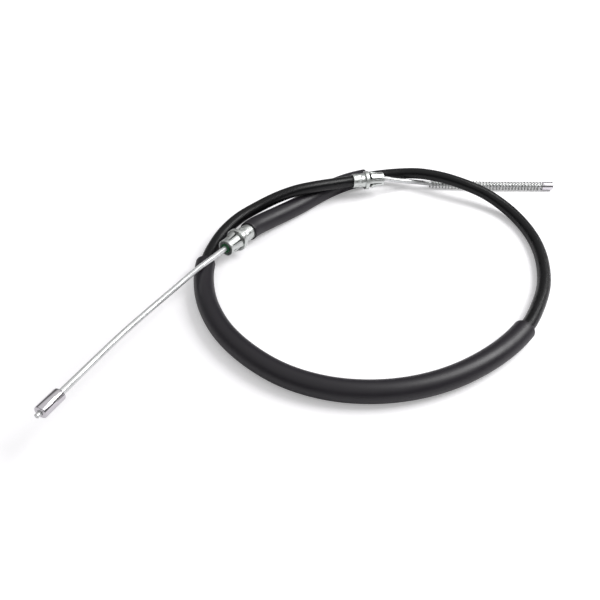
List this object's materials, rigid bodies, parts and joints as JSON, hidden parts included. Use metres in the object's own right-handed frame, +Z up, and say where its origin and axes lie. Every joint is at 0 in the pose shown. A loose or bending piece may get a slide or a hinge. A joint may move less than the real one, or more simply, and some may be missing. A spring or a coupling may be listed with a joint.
{
  "type": "parking brake cable",
  "caption": "Parking brake cable in a loop: conduit with sleeves and snap-in fittings, a barrel on one end of the strand, a return spring and button on the other.",
  "frame": {"origin": "on the surface the cable lies on, under the middle of its whole outline", "axes": "+X along the longest extent, from the lever end to the wheel end; +Y away from the lever end's barrel, towards the crossing; +Z up"},
  "size_m": [0.3868, 0.3072, 0.0376],
  "materials": {
    "jacket": "smooth black",
    "sleeve": "dull, dark with a purple tint",
    "armour": "wound flat wire",
    "zinc": "bright zinc plate",
    "ring": "grey",
    "strand": "coated wire rope",
    "stop": "polished",
    "bush": "green",
    "liner": "natural"
  },
  "bodies": {
    "casing": {"jacket": "jacket", "armour": "armour", "liner": "liner", "strand_inside": "strand", "sleeve_short": "sleeve", "sleeve_long": "sleeve", "ferrule_lever_end": "zinc", "finger_clip_lever_end": "zinc", "retaining_ring_lever_end": "ring", "bush_lever_end": "bush", "ferrule_wheel_end": "zinc", "finger_clip_wheel_end": "zinc", "retaining_ring_wheel_end": "ring", "bush_wheel_end": "bush", "strand_wheel_bend": "strand"},
    "lever_end": {"strand_lever_end": "strand", "barrel_lever_end": "stop"},
    "wheel_end": {"strand_wheel_end": "strand", "return_spring": "zinc", "button_wheel_end": "stop"}
  },
  "joints": [
    {"name": "lever_end_slide", "type": "slide", "parent": "casing", "child": "lever_end", "axis": [0.5069, 0.8568, -0.095], "range_m": [0, 0.02]},
    {"name": "wheel_end_slide", "type": "slide", "parent": "casing", "child": "wheel_end", "axis": [0.9971, -0.0761, 0], "range_m": [0, 0.02]}
  ],
  "couplings": [
    {"joint": "wheel_end_slide", "follows": "lever_end_slide", "ratio": 1}
  ]
}
